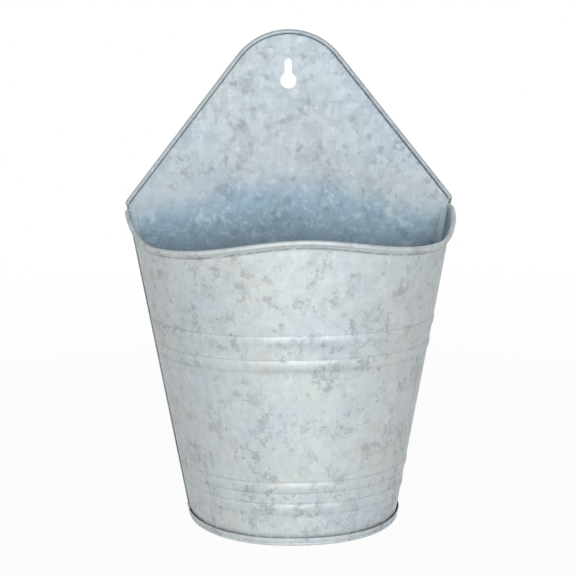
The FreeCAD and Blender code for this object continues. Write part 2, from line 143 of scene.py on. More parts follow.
class PLANTER_studio(bpy.types.PropertyGroup):
    """Floor, lamps and camera."""
    floor: colour("Floor", "Colour of the pale floor", (0.86, 0.86, 0.86))
    key_power: number("Key lamp", "Power of the main soft lamp", 28.0, "POWER")
    fill_power: number("Fill lamp", "Power of the left-hand lamp", 3.0, "POWER")
    rear_power: number("Rear lamp", "Power of the lamp behind", 7.0, "POWER")
    glow: number("Floor glow", "How pale the camera sees the floor", 1.0)
    sky: number("Sky", "Strength of the light from all round", 0.18)
    lens: number("Lens", "Focal length in millimetres", 125.54)


def sheet_sizes():
    """The sizes as they are set now."""
    return bpy.context.scene.planter_sizes


def zinc_finish():
    """The finish as it is set now."""
    return bpy.context.scene.planter_finish


def studio():
    """The studio as it is set now."""
    return bpy.context.scene.planter_studio


# ---------------- mesh of one sheet piece

SHARP_ANGLE = 38.0  # degrees from which an edge of the sheet is shaded sharp


class SheetMesh:
    """Vertices, faces and finish marks gathered for one piece of folded sheet.

    Each vertex carries two marks from 0 to 1: crease, for dirt and painted shade in folds and
    seams, and inside, for the painted shade and painted reflections on the sheet's inner side.
    """

    def __init__(self):
        self.points = []
        self.faces = []
        self.marks = []

    def add(self, point, crease_grime_and_shade=0.0, inside=0.0):
        """New vertex with its marks; gives its number."""
        self.points.append(point)
        self.marks.append((crease_grime_and_shade, inside))
        return len(self.points) - 1

    def sweep(self, sections, marks):
        """Closed section swept through many places and capped at both ends."""
        start, count = len(self.points), len(sections[0])
        for section in sections:
            for point, mark in zip(section, marks):
                self.add(point, *mark)
        last = start + (len(sections) - 1) * count
        for row in range(start, last, count):
            for index, after in ring(row, count):
                self.faces.append((index, after, after + count, index + count))
        self.faces.append(tuple(start + index for index in reversed(range(count))))
        self.faces.append(tuple(last + index for index in range(count)))

    def build(self, name, material, replaced):
        """Blender object of the piece, riding on the part and standing for a CAD node."""
        mesh = bpy.data.meshes.new(name)
        mesh.from_pydata(self.points, [], self.faces)
        mesh.update()
        for index, mark in enumerate(("crease_grime_and_shade", "inside")):
            layer = mesh.attributes.new(mark, "FLOAT", "POINT")
            layer.data.foreach_set("value", [marks[index] for marks in self.marks])
        solid = bmesh.new()
        solid.from_mesh(mesh)
        bmesh.ops.recalc_face_normals(solid, faces=solid.faces)
        solid.to_mesh(mesh)
        solid.free()
        mesh.shade_smooth()
        mesh.set_sharp_from_angle(angle=math.radians(SHARP_ANGLE))
        mesh.materials.append(material)
        piece = put_in_scene(name, mesh)
        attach(piece, "root")
        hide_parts(replaced)


def smooth_step(low, high, value):
    """Smooth rise from 0 to 1 as value goes from low to high."""
    part = min(max((value - low) / (high - low), 0.0), 1.0)
    return part * part * (3 - 2 * part)


# Width and height of the waves in which thin sheet is uneven.
WIDE_WAVE = (0.055, 0.070)
SHORT_WAVE = (0.021, 0.027)


def unevenness(x, z, seed):
    """Slight oil-canning of thin sheet, from -1 to 1."""
    wide = noise.noise(Vector((x / WIDE_WAVE[0], z / WIDE_WAVE[1], seed)))
    short = noise.noise(Vector((x / SHORT_WAVE[0], z / SHORT_WAVE[1], seed + 7.3)))
    return 0.75 * wide + 0.25 * short


def shares(count):
    """Shares from 0 to 1 in a number of equal steps."""
    return [step / count for step in range(count + 1)]


def bend(first, last, steps):
    """Angles in radians from first to last, given in degrees, in equal steps."""
    return [math.radians(first + (last - first) * share) for share in shares(steps)]


def heading(turn):
    """Unit direction at an angle in a flat drawing."""
    return Vector((math.cos(turn), math.sin(turn)))


def ring(start, count):
    """Pairs of numbers that close a line of points."""
    return [(start + index, start + (index + 1) % count) for index in range(count)]


def put_in_scene(name, data):
    """New object of the scene that shows a mesh, a lamp or a camera."""
    thing = bpy.data.objects.new(name, data)
    bpy.context.scene.collection.objects.link(thing)
    return thing


# ---------------- the shell's form

RIM_ROUNDS = 8  # rounds that find the height at which the rim crosses the leaning wall
RIM_STEP = 0.002  # step of the angle round the plan that gives the rim's direction
RIB_SOFTNESS = 1.1  # of a rib's section: 1 is a parabola, and more is softer at its feet
# The thin line along a rib's edge is painted shade, partly dirt.
RIB_SHADE_LINE = 0.55 * MM  # width of the thin dull line along a rib's edge
ROWS_BELOW_RIM = 9 * MM  # from the wall's last level row to the rim's lowest point
# Spacing of the wall's rows away from the ribs and near them, and how near that is.
WIDE_ROW, RIB_ROW, NEAR_RIB = 2.4 * MM, 0.42 * MM, 4.3 * MM
RADIAN_RUN = 0.11  # run of the wall for one radian, for the sheet's unevenness


def tapered(base, top, height):
    """Size at a height, from its value at the base and at the top level."""
    return base + (top - base) * height / sheet_sizes().top_level


def inside_panel():
    """Y of the shell's back edge, which lies on the panel."""
    return WALL_Y - sheet_sizes().gauge - sheet_sizes().lap


def plan_point(angle, height):
    """Point of the shell's outside and its outward normal."""
    s = sheet_sizes()
    half_width = tapered(s.base_half_width, s.top_half_width, height)
    depth = tapered(s.base_depth, s.top_depth, height)
    fullness = tapered(s.base_fullness, s.top_fullness, height)
    across, out = math.cos(angle), max(math.sin(angle), 0.0)
    reach = (abs(across) ** fullness + out ** fullness) ** (-1 / fullness)
    slope_x = math.copysign(abs(across * reach) ** (fullness - 1) / half_width, across)
    slope_y = -(out * reach) ** (fullness - 1) / depth
    point = Vector((half_width * across * reach, inside_panel() - depth * out * reach, height))
    return point, Vector((slope_x, slope_y, 0)).normalized()


def fall(part):
    """Smooth fall from 1 to 0 as part goes from 0 to 1 or beyond."""
    return (1 + math.cos(math.pi * min(abs(part), 1.0))) / 2


def rim_height(x, y):
    """Height of the wavy rim over a point of the plan."""
    s = sheet_sizes()
    side = fall((inside_panel() - y) / s.side_run)
    front = fall(x / s.front_run) if WALL_Y - y > s.side_run else 0.0
    return (s.valley_height + (s.corner_height - s.valley_height) * side
            + (s.crest_height - s.valley_height) * front)


def rim_centre(angle):
    """Centre of the rim's roll and the direction in which the wall rises there."""
    height = sheet_sizes().crest_height
    for _ in range(RIM_ROUNDS):
        point, normal = plan_point(angle, height)
        height = rim_height(point.x, point.y)
    point, normal = plan_point(angle, height)
    rising = point - plan_point(angle, height - MM)[0]
    return point + normal * sheet_sizes().rim_stand_off, rising


def rim_frame(angle):
    """Centre of the rim's roll with its outward and upward directions."""
    centre, rising = rim_centre(angle)
    along = (rim_centre(angle + RIM_STEP)[0] - rim_centre(angle - RIM_STEP)[0]).normalized()
    outward = rising.cross(along).normalized()
    if outward.dot(Vector((centre.x, centre.y - WALL_Y, 0))) < 0:
        outward = -outward
    upward = along.cross(outward).normalized()
    return centre, outward, upward if upward.z > 0 else -upward


def rib_profile(height):
    """How far a rib stands out at a height, as a share of its full rise."""
    half = sheet_sizes().rib_width / 2
    for middle in RIB_HEIGHTS:
        across = (height - middle * MM) / half
        if abs(across) < 1:
            return (1 - across * across) ** RIB_SOFTNESS
    return 0.0


def rib_edge_shade(height):
    """Mark of the thin line of painted shade and dirt along a rib's two edges, from 0 to 1."""
    half = sheet_sizes().rib_width / 2
    away = min(abs(abs(height - middle * MM) - half) for middle in RIB_HEIGHTS)
    return max(0.0, 1 - away / RIB_SHADE_LINE)


def wall_levels():
    """Heights of the shell's rows below the rim, close together on the ribs."""
    s = sheet_sizes()
    levels = [s.gauge + s.lap]
    top = s.valley_height - ROWS_BELOW_RIM
    while levels[-1] < top:
        nearest = min(abs(levels[-1] - middle * MM) for middle in RIB_HEIGHTS)
        levels.append(levels[-1] + (RIB_ROW if nearest < NEAR_RIB else WIDE_ROW))
    levels[-1] = top
    return levels


def wall_point(angle, height, inset):
    """Point of the sheet wall, with its ribs and slight unevenness."""
    s = sheet_sizes()
    point, normal = plan_point(angle, height)
    depth = inside_panel() - point.y
    fade = smooth_step(s.lip_depth, s.lip_depth + s.rib_fade, depth)
    # Away from the seams, the foot and the rim, the sheet is free to be uneven.
    free = smooth_step(6 * MM, 22 * MM, depth) * smooth_step(6 * MM, 20 * MM, height)
    free *= 1 - smooth_step(s.valley_height - 22 * MM, s.valley_height - 6 * MM, height)
    run = (angle - math.pi / 2) * RADIAN_RUN
    dent = s.dent * unevenness(run, height, 3.1) * free
    return point + normal * (s.rib_rise * rib_profile(height) * fade - inset + dent)


# The rolled rim's tucked edge: outward and upward in millimetres from its wire's centre, and
# the mark of dirt and painted shade in the dark line under the roll.  It goes up behind the
# edge, round it and out to the roll.
RIM_TUCK = ((-1.20, -3.55, 0.6), (-1.20, -3.10, 0.95), (-1.19, -2.60, 1.0),
            (-1.16, -2.25, 1.0), (-1.06, -2.25, 1.0), (-1.02, -2.60, 1.0),
            (-0.98, -2.95, 0.9), (-0.90, -3.08, 0.55), (-0.76, -3.10, 0.35),
            (-0.64, -3.00, 0.2), (-0.57, -2.80, 0.1), (-0.44, -2.45, 0.05),
            (-0.20, -2.10, 0.0), (0.15, -1.80, 0.0))
# The roll's outer radius, and how far the sheet inside the rim lies behind its wire's centre.
ROLL, RIM_INSIDE = 1.5, 1.70
PRESSED_FLAT = 0.14  # share of the roll's thickness left beside the panel
TUCK_LIFT = 0.35  # how far the tucked edge stands off where it isn't rolled down hard


def rim_outline():
    """Outline of the rolled rim in millimetres, and the mark of dirt and painted shade of each
    point.
    """
    outline = [(out, rise) for out, rise, _mark in RIM_TUCK]
    creases = [mark for _out, _rise, mark in RIM_TUCK]
    for turn in bend(-62, 180, 24):
        inward = max(0.0, -math.cos(turn))
        radius = ROLL + (RIM_INSIDE - ROLL) * inward * inward
        outline.append((radius * math.cos(turn), ROLL * math.sin(turn)))
    outline += [(-RIM_INSIDE, -0.9), (-RIM_INSIDE, -2.0)]
    return outline, creases + [0.0] * (len(outline) - len(creases))


def rim_section(angle, outline, pressed):
    """Points of the rolled rim at one angle, pressed flat or not."""
    centre, outward, upward = rim_frame(angle)
    squeeze, lift = PRESSED_FLAT, 0.0
    if not pressed:
        squeeze = 1.0
        lift = TUCK_LIFT * max(0.0, noise.noise(Vector((angle * 6.3, 1.7, 0.4))))
    section = []
    for out, rise in outline:
        free_edge = smooth_step(-1.6, -3.0, rise) if -1.1 < out < 0.2 else 0.0
        out = -RIM_INSIDE + (out + RIM_INSIDE) * squeeze + lift * free_edge
        section.append(centre + outward * (out * MM) + upward * (rise * MM))
    return section


# Columns of the shell from seam to seam, and its rows between the level ones and the rim.
SHELL_COLUMNS, UPPER_ROWS = 380, 9
PRESS_STEP = 0.0005  # angle over which the roll goes from pressed flat to full


def make_shell():
    """The tapered shell: one sheet from its foot, round the wired rim and down inside."""
    s = sheet_sizes()
    sheet = SheetMesh()
    levels = wall_levels()
    outline, creases = rim_outline()
    lip_front = (s.lip_depth + s.lap) / s.top_depth
    angles = bend(0, 180, SHELL_COLUMNS)
    angles += [lip_front - PRESS_STEP, lip_front, math.pi - lip_front,
               math.pi - lip_front + PRESS_STEP]
    sections = []
    for angle in sorted(angles):
        pressed = not lip_front <= angle <= math.pi - lip_front
        roll = rim_section(angle, outline, pressed)
        outside = [wall_point(angle, height, 0.0) for height in levels]
        inside = [wall_point(angle, height, s.gauge) for height in levels]
        steps = shares(UPPER_ROWS)[1:-1]
        outside += [outside[-1].lerp(roll[0], share) for share in steps]
        inside += [inside[-1].lerp(roll[-1], share) for share in steps]
        sections.append(outside + roll + inside[::-1])
    # Dirt and painted shade darken the foot, the ribs' edges and behind the rim's tucked edge;
    # the inner wall and the rim's inner edge get the inside's painted shade.
    marks = [(0.5 * (1 - smooth_step(4.0 * MM, 7.5 * MM, height)) + 0.34 * rib_edge_shade(height), 0.0)
             for height in levels]
    marks += [(0.0, 0.0)] * (UPPER_ROWS - 1)
    marks += [(mark, 0.0) for mark in creases[:-2]] + [(0.0, 0.4), (0.0, 0.8)]
    marks += [(0.0, 1.0)] * (len(levels) + UPPER_ROWS - 1)
    sheet.sweep(sections, marks)
    for sign in (-1, 1):
        side_flange(sheet, sign)
    zinc = galvanised("Galvanised shell", zinc_finish().zinc)
    sheet.build("shell_sheet", zinc, "front_shell")


# The shell's side flange: its foot, how far it ends below the rim, and its width.
FLANGE_FOOT, FLANGE_SHORT, FLANGE_WIDTH = 4.9 * MM, 6.0 * MM, 3.8 * MM


def side_flange(sheet, sign):
    """The shell's strip turned inwards along the panel, on one side."""
    s = sheet_sizes()
    back = inside_panel()
    sections = []
    for share in shares(40):
        height = FLANGE_FOOT + (s.corner_height - FLANGE_SHORT) * share
        edge = tapered(s.base_half_width, s.top_half_width, height) - s.gauge * 0.6
        inner = edge - FLANGE_WIDTH
        profile = ((edge, back), (inner, back), (inner - 0.15 * MM, back - s.gauge / 2),
                   (inner, back - s.gauge), (edge - 0.5 * MM, back - s.gauge),
                   (edge, back - 1.5 * s.gauge))
        sections.append([Vector((sign * x, y, height)) for x, y in profile])
    # The flange carries most of the inside's painted shade.
    sheet.sweep(sections, [(0.0, 0.8)] * len(profile))


# ---------------- the back panel

FOLD_INSET = 0.5 * MM  # how far the flat sheet stops inside its folded sides


def gable_turns():
    """Centres of the gable's top and right-hand turns, and the direction its slope faces."""
    s = sheet_sizes()
    top = Vector((0, TOP_Z - s.roll_radius - s.gable_radius))
    low = Vector((s.gable_half_width - s.gable_turn, s.gable_foot))
    reach = top - low
    lean = math.atan2(reach.y, reach.x)
    lean -= math.acos((s.gable_turn - s.gable_radius) / reach.length)
    return top, low, lean


def gable_path(spacing):
    """Points of the gable wire's line in X and Z with outward directions, right to left."""
    s = sheet_sizes()
    top, low, lean = gable_turns()
    right = []
    for share in shares(8):
        facing = heading(lean * share)
        right.append((low + facing * s.gable_turn, facing))
    start, end = low + facing * s.gable_turn, top + facing * s.gable_radius
    steps = max(2, round((end - start).length / spacing))
    right += [(start.lerp(end, share), facing) for share in shares(steps)[1:]]
    for share in shares(28)[1:]:
        facing = heading(lean + (math.pi / 2 - lean) * share)
        right.append((top + facing * s.gable_radius, facing))
    mirrored = [(Vector((-point.x, point.y)), Vector((-facing.x, facing.y)))
                for point, facing in right[-2::-1]]
    return right + mirrored


def side_reach(height):
    """Half the panel's width at a height: the outside of its side lips."""
    s = sheet_sizes()
    return tapered(s.base_half_width, s.top_half_width, height) + s.lip_slack + s.gauge


def keyhole_outline():
    """Points round the keyhole in X and Z: the round hole, then up, round and down the slot."""
    s = sheet_sizes()
    lean = math.acos(s.slot_radius / s.keyhole_radius)
    hole = Vector((0, s.keyhole_height))
    slot = hole + Vector((0, s.slot_rise))
    points = [hole + heading(math.pi - lean + (math.pi + 2 * lean) * share)
              * s.keyhole_radius for share in shares(48)]
    foot = points[-1].y
    side = [Vector((s.slot_radius, foot + (slot.y - foot) * share))
            for share in shares(6)[1:-1]]
    points += side
    points += [slot + heading(turn) * s.slot_radius for turn in bend(0, 180, 24)]
    points += [Vector((-point.x, point.y)) for point in reversed(side)]
    return points


def in_keyhole(point, grow=0.0):
    """Whether a point of the panel lies in the keyhole."""
    s = sheet_sizes()
    rise = point.y - s.keyhole_height
    in_slot = abs(point.x) < s.slot_radius + grow and 0 < rise < s.slot_rise
    end = Vector((point.x, rise - s.slot_rise)).length < s.slot_radius + grow
    return in_slot or end or Vector((point.x, rise)).length < s.keyhole_radius + grow


def panel_lift(x, z):
    """How far the panel's sheet stands forward of the wall: slight unevenness only."""
    s = sheet_sizes()
    # The sheet is held still at its sides, its foot and its gable's slopes.
    edge = side_reach(min(z, s.gable_foot)) - abs(x)
    slope = (TOP_Z - 4 * MM - z) * 0.72 + 14 * MM - abs(x) * 0.75
    free = smooth_step(0, 18 * MM, edge) * smooth_step(0, 25 * MM, z)
    free *= smooth_step(0, 22 * MM, max(slope, 0.0)) if z > s.gable_foot else 1.0
    return 0.9 * s.dent * (1 + unevenness(x, z, 11.7)) * free


# The arch over the panel's painted shade: its height, its fall, the half width of that fall,
# and how far the painted shade fades below and above it.
ARCH_HEIGHT, ARCH_FALL, ARCH_HALF_WIDTH = 204 * MM, 15 * MM, 85 * MM
FADE_BELOW, FADE_ABOVE = 13 * MM, 11 * MM


def panel_painted_shade(spot):
    """Mark of the panel's painted shade below the rim, which ends in a soft arch above the rim.
    """
    arch = ARCH_HEIGHT - ARCH_FALL * (spot.x / ARCH_HALF_WIDTH) ** 2
    return 1 - smooth_step(arch - FADE_BELOW, arch + FADE_ABOVE, spot.y)


def panel_outline():
    """Points round the panel's flat sheet in X and Z, inside its folded edges."""
    foot = sheet_sizes().gable_foot
    gable = [point for point, _facing in gable_path(2.5 * MM)]
    left = [Vector((-side_reach(foot * (1 - share)) + FOLD_INSET, foot * (1 - share)))
            for share in shares(48)]
    half = side_reach(0) - FOLD_INSET
    bottom = [Vector((half * (2 * share - 1), 0)) for share in shares(30)[1:-1]]
    right = [Vector((-point.x, point.y)) for point in reversed(left)]
    return gable + left + bottom + right


# Spacing of the panel's points, and how far they stay off its outline and its keyhole.
PANEL_PITCH, OFF_OUTLINE, OFF_KEYHOLE = 3.6 * MM, 2.2 * MM, 1.6 * MM


def panel_core(sheet):
    """The panel's flat sheet inside its rolled and folded edges, with its keyhole."""
    outline, hole = panel_outline(), keyhole_outline()
    flat = outline + hole
    edges = ring(0, len(outline)) + ring(len(outline), len(hole))
    for row in range(1, int(TOP_Z / PANEL_PITCH) + 1):
        for column in range(-30, 31):
            spot = Vector(((column + 0.5 * (row % 2)) * PANEL_PITCH, row * PANEL_PITCH))
            if panel_margin(spot) > OFF_OUTLINE and not in_keyhole(spot, OFF_KEYHOLE):
                flat.append(spot)
    spots, _edges, triangles, *_origins = delaunay_2d_cdt(flat, edges, [], 1, 1e-7)
    kept = [face for face in triangles
            if not in_keyhole(sum((spots[i] for i in face), Vector((0, 0))) / 3)]
    back, front = [], []
    for layer, depth in ((back, 0.0), (front, sheet_sizes().gauge)):
        for spot in spots:
            y = WALL_Y - panel_lift(spot.x, spot.y) - depth
            # The front face carries the panel's painted shade below the rim.
            painted_shade = panel_painted_shade(spot) if depth else 0.0
            layer.append(sheet.add(Vector((spot.x, y, spot.y)), 0.0, painted_shade))
    sheet.faces += [tuple(front[i] for i in face) for face in kept]
    sheet.faces += [tuple(back[i] for i in reversed(face)) for face in kept]
    border = {}
    for face in kept:
        for start, end in zip(face, face[1:] + face[:1]):
            key = (min(start, end), max(start, end))
            border[key] = None if key in border else (start, end)
    for ends in border.values():
        if ends:
            start, end = ends
            sheet.faces.append((front[end], front[start], back[start], back[end]))


def panel_margin(spot):
    """Distance of a point inside the panel's outline, roughly, or less than 0 outside."""
    s = sheet_sizes()
    if spot.y < s.gable_foot:
        return min(side_reach(spot.y) - FOLD_INSET - abs(spot.x), spot.y)
    top, _low, lean = gable_turns()
    facing = heading(lean)
    from_top = Vector((abs(spot.x), spot.y)) - top
    if from_top.x < from_top.y * facing.x / facing.y:
        return s.gable_radius - from_top.length
    return s.gable_radius - from_top.dot(facing)


# The curl over the gable wire in millimetres: its centre's distance from the wall, and its
# radii outside and inside.
CURL_CENTRE, CURL_OUTER, CURL_INNER = 1.55, 1.5, 1.06
CURL_STRAY = 0.10  # how far its tucked edge strays where it isn't pressed home


def curl_outline():
    """Outline of the sheet curled over the gable wire, outward and forward from the wall."""
    outline = [(-0.9, 0.05)]
    for radius, turns in ((CURL_OUTER, bend(-90, 206, 28)), (CURL_INNER, bend(204, -58, 23))):
        outline += [(radius * math.cos(turn), CURL_CENTRE + radius * math.sin(turn))
                    for turn in turns]
    outline.append((-0.9, 0.52))
    # Marks of dirt and painted shade along the dark gap under the curl's tucked edge.
    creases = [0.0] * 21 + [0.15, 0.4, 0.75, 0.95] + [1.0] * 30
    return outline, creases


def gable_roll(sheet):
    """The gable's edge curled forward over its wire."""
    outline, creases = curl_outline()
    sections = []
    for index, (point, facing) in enumerate(gable_path(2.0 * MM)):
        stray = CURL_STRAY * noise.noise(Vector((index * 0.11, 4.2, 0.9)))
        section = []
        for out, forward in outline:
            if out < -0.7 and forward > 0.6:
                forward += stray
            place = point + facing * (out * MM)
            section.append(Vector((place.x, WALL_Y - forward * MM, place.y)))
        sections.append(section)
    sheet.sweep(sections, [(mark, 0.0) for mark in creases])


# Outline of a side lip in millimetres: outward from the panel's side, and forward of the wall.
LIP_OUTLINE = ((-2.2, 0.0), (-1.6, 0.0), (-0.95, 0.02), (-0.55, 0.12), (-0.25, 0.33),
               (-0.08, 0.65), (0.0, 1.05), (0.0, 2.0), (0.0, 3.2), (0.0, 4.1), (-0.05, 4.35),
               (-0.16, 4.47), (-0.30, 4.5), (-0.42, 4.44), (-0.49, 4.3), (-0.5, 4.1),
               (-0.5, 3.2), (-0.5, 2.0), (-0.5, 1.2), (-0.58, 0.85), (-0.75, 0.62),
               (-1.05, 0.52), (-1.6, 0.5), (-2.2, 0.5))
# In millimetres, how far the lip's edge leans in, and how far that changes along it.
LIP_LEAN, LIP_SWAY = 0.30, 0.16


def side_lip(sheet, sign):
    """The panel's edge bent forward outside the shell, on one side."""
    s = sheet_sizes()
    low, high = s.clasp_height + s.lap, s.gable_foot
    sections = []
    for share in shares(110):
        height = low + (high - low) * share
        sway = LIP_SWAY * noise.noise(Vector((height / (17 * MM), 2.0 * sign, 5.5)))
        section = []
        for out, forward in LIP_OUTLINE:
            lean = (sway - LIP_LEAN) * smooth_step(0.8, s.lip_depth / MM, forward)
            out = min(out + min(lean, 0.0), 0.0)
            section.append(Vector((sign * (side_reach(height) + out * MM),
                                   WALL_Y - forward * MM, height)))
        sections.append(section)
    # Marks of dirt and painted shade along the dark line between the lip and the shell.
    creases = [0.0] * 13 + [0.15, 0.3] + [0.45] * 9
    sheet.sweep(sections, [(mark, 0.0) for mark in creases])


def straight_fold(profile, half_width, back, steps):
    """Sections along X of a fold whose profile is forward of a plane, and height."""
    return [[Vector((half_width * (2 * share - 1), back - out * MM, rise * MM))
             for out, rise in profile] for share in shares(steps)]


FOLD_HALF_WIDTH, FOLD_HEIGHT = 58 * MM, 3.5  # of the panel's bottom fold, the latter in mm


def bottom_fold(sheet):
    """The panel's lower edge, folded in under the pan's skirt and up in front of it."""
    gauge, lap = sheet_sizes().gauge / MM, sheet_sizes().lap / MM
    back, front = 2 * gauge + 2 * lap, 3 * gauge + 2 * lap
    profile = ((0.02, 0.02), (front - 0.35, 0.0), (front - 0.1, 0.1), (front, 0.35),
               (front, FOLD_HEIGHT - 0.1), (front - 0.1, FOLD_HEIGHT),
               (back + 0.1, FOLD_HEIGHT), (back, FOLD_HEIGHT - 0.1),
               (back, gauge + 0.1), (back - 0.1, gauge), (0.5, gauge), (0.02, gauge))
    # The fold carries dirt with painted shade, and some of the inside's painted shade.
    sheet.sweep(straight_fold(profile, FOLD_HALF_WIDTH, WALL_Y, 30),
                [(0.4, 0.6)] * len(profile))


def make_panel():
    """The gabled back panel with its keyhole, rolled edge, side lips and bottom fold."""
    sheet = SheetMesh()
    panel_core(sheet)
    gable_roll(sheet)
    for sign in (-1, 1):
        side_lip(sheet, sign)
    bottom_fold(sheet)
    zinc = galvanised("Galvanised panel", zinc_finish().panel, 0.6)
    sheet.build("panel_sheet", zinc, "back_panel")


# ---------------- the base pan

# Outline of the pan's edge in millimetres: offset from the shell's outside, and height.  It
# runs down inside the shell's foot, under it and up outside with a shallow groove, over the
# edge and back down into the channel that holds the foot.
CLASP_OUTLINE = (
    (-2.5, 4.7), (-1.5, 4.68), (-1.22, 4.6), (-1.12, 4.4), (-1.1, 4.0), (-1.1, 1.2),
    (-1.08, 0.6), (-0.98, 0.25), (-0.75, 0.05), (-0.45, 0.0), (0.4, 0.0), (0.95, 0.05),
    (1.19, 0.2), (1.31, 0.46), (1.35, 0.9), (1.35, 1.5), (1.16, 1.95), (1.35, 2.4),
    (1.35, 4.2), (1.32, 4.55), (1.23, 4.74), (1.1, 4.8), (0.97, 4.76), (0.88, 4.6),
    (0.85, 4.3), (0.85, 3.0), (0.85, 0.75), (0.72, 0.55), (0.4, 0.5), (-0.3, 0.5),
    (-0.52, 0.57), (-0.6, 0.75), (-0.6, 3.7), (-0.66, 4.02), (-0.85, 4.18), (-1.2, 4.2),
    (-2.5, 4.2))
# Marks of dirt and painted shade along the pan's seam and in the channel round the shell's foot,
# and painted shade on the inner ledge.
CLASP_CREASES = [0.0] * 16 + [0.45, 0.0, 0.0, 0.05, 0.1, 0.6] + [1.0] * 11 + [0.0] * 4
CLASP_PAINTED_SHADE = [1.0] * 3 + [0.0] * 34
# Outline of the pan's back skirt in millimetres: forward of the panel, and height.
SKIRT_OUTLINE = ((0.0, 0.7), (0.1, 0.6), (0.4, 0.6), (0.5, 0.7), (0.5, 4.3), (0.9, 4.62),
                 (0.9, 4.7), (0.3, 4.7), (0.08, 4.55), (0.0, 4.3))


def make_pan():
    """The clasped base pan: raised floor and an edge folded round the shell's foot."""
    sheet = SheetMesh()
    sections = []
    for angle in bend(0, 180, 300):
        ripple = 0.16 * noise.noise(Vector((angle * 5.1, 8.8, 0.3)))
        ripple += 0.07 * noise.noise(Vector((angle * 17.0, 2.8, 0.3)))
        dip = min(ripple, 0.0)
        section = []
        for offset, height in CLASP_OUTLINE:
            # Only the outer edge is uneven: it dips and leans in here and there.
            outer = offset > 0.0 and height > 2.5
            spread = offset + (dip * 0.4 if outer else 0.0)
            drop = dip * 1.6 if outer and height > 4.0 else 0.0
            point, normal = plan_point(angle, height * MM)
            section.append(Vector((0, 0, drop * MM)) + point + normal * (spread * MM))
        sections.append(section)
    sheet.sweep(sections, list(zip(CLASP_CREASES, CLASP_PAINTED_SHADE)))
    pan_floor(sheet)
    pan_skirt(sheet)
    zinc = galvanised("Galvanised pan", zinc_finish().zinc)
    sheet.build("pan_sheet", zinc, "base_pan")


def pan_skirt(sheet):
    """The pan's edge turned down along the panel, inside the panel's bottom fold."""
    half = sheet_sizes().base_half_width - 1.35 * MM
    # The skirt carries dirt with painted shade, and some of the inside's painted shade.
    sheet.sweep(straight_fold(SKIRT_OUTLINE, half, inside_panel(), 24),
                [(0.5, 0.6)] * len(SKIRT_OUTLINE))


# The pan's floor: how far it stops inside the shell, how far its middle sags, its unevenness,
# and how far its faces lie inside the edge's folded sheet.
FLOOR_INSET, FLOOR_SAG, FLOOR_WAVE, FLOOR_SHY = 1.6 * MM, 0.5 * MM, 0.12 * MM, 0.02 * MM


def pan_floor(sheet):
    """The raised floor, a little slack in its middle, as rings round its centre."""
    s = sheet_sizes()
    centre = Vector((0, inside_panel() - s.base_depth * 0.42, 0))
    edge = []
    for angle in bend(0, 180, 120):
        point, normal = plan_point(angle, s.floor_height)
        edge.append(Vector((point.x, point.y, 0)) - normal * FLOOR_INSET)
    edge += [edge[-1].lerp(edge[0], share) for share in shares(60)[1:-1]]
    total = len(edge)
    borders = []
    # The floor's top carries the inside's painted shade; its underside carries none.
    for rise, inside in ((s.floor_height - FLOOR_SHY, 1.0),
                         (s.floor_height - s.gauge + FLOOR_SHY, 0.0)):
        middle = sheet.add(centre + Vector((0, 0, rise - FLOOR_SAG)), 0.0, inside)
        for part in shares(16)[1:]:
            for spot in edge:
                place = centre.lerp(spot, part)
                sag = FLOOR_SAG * (1 - part * part)
                sag += FLOOR_WAVE * unevenness(place.x, place.y, 21.0) * (1 - part)
                sheet.add(Vector((place.x, place.y, rise - sag)), 0.0, inside)
        border = len(sheet.points) - total
        borders.append(border)
        for index, after in ring(middle + 1, total):
            sheet.faces.append((middle, index, after))
            for row in range(0, border - middle - 1, total):
                sheet.faces.append((row + index, row + total + index, row + total + after,
                                    row + after))
    upper, lower = borders
    for index, after in ring(0, total):
        sheet.faces.append((upper + index, lower + index, lower + after, upper + after))


# ---------------- materials

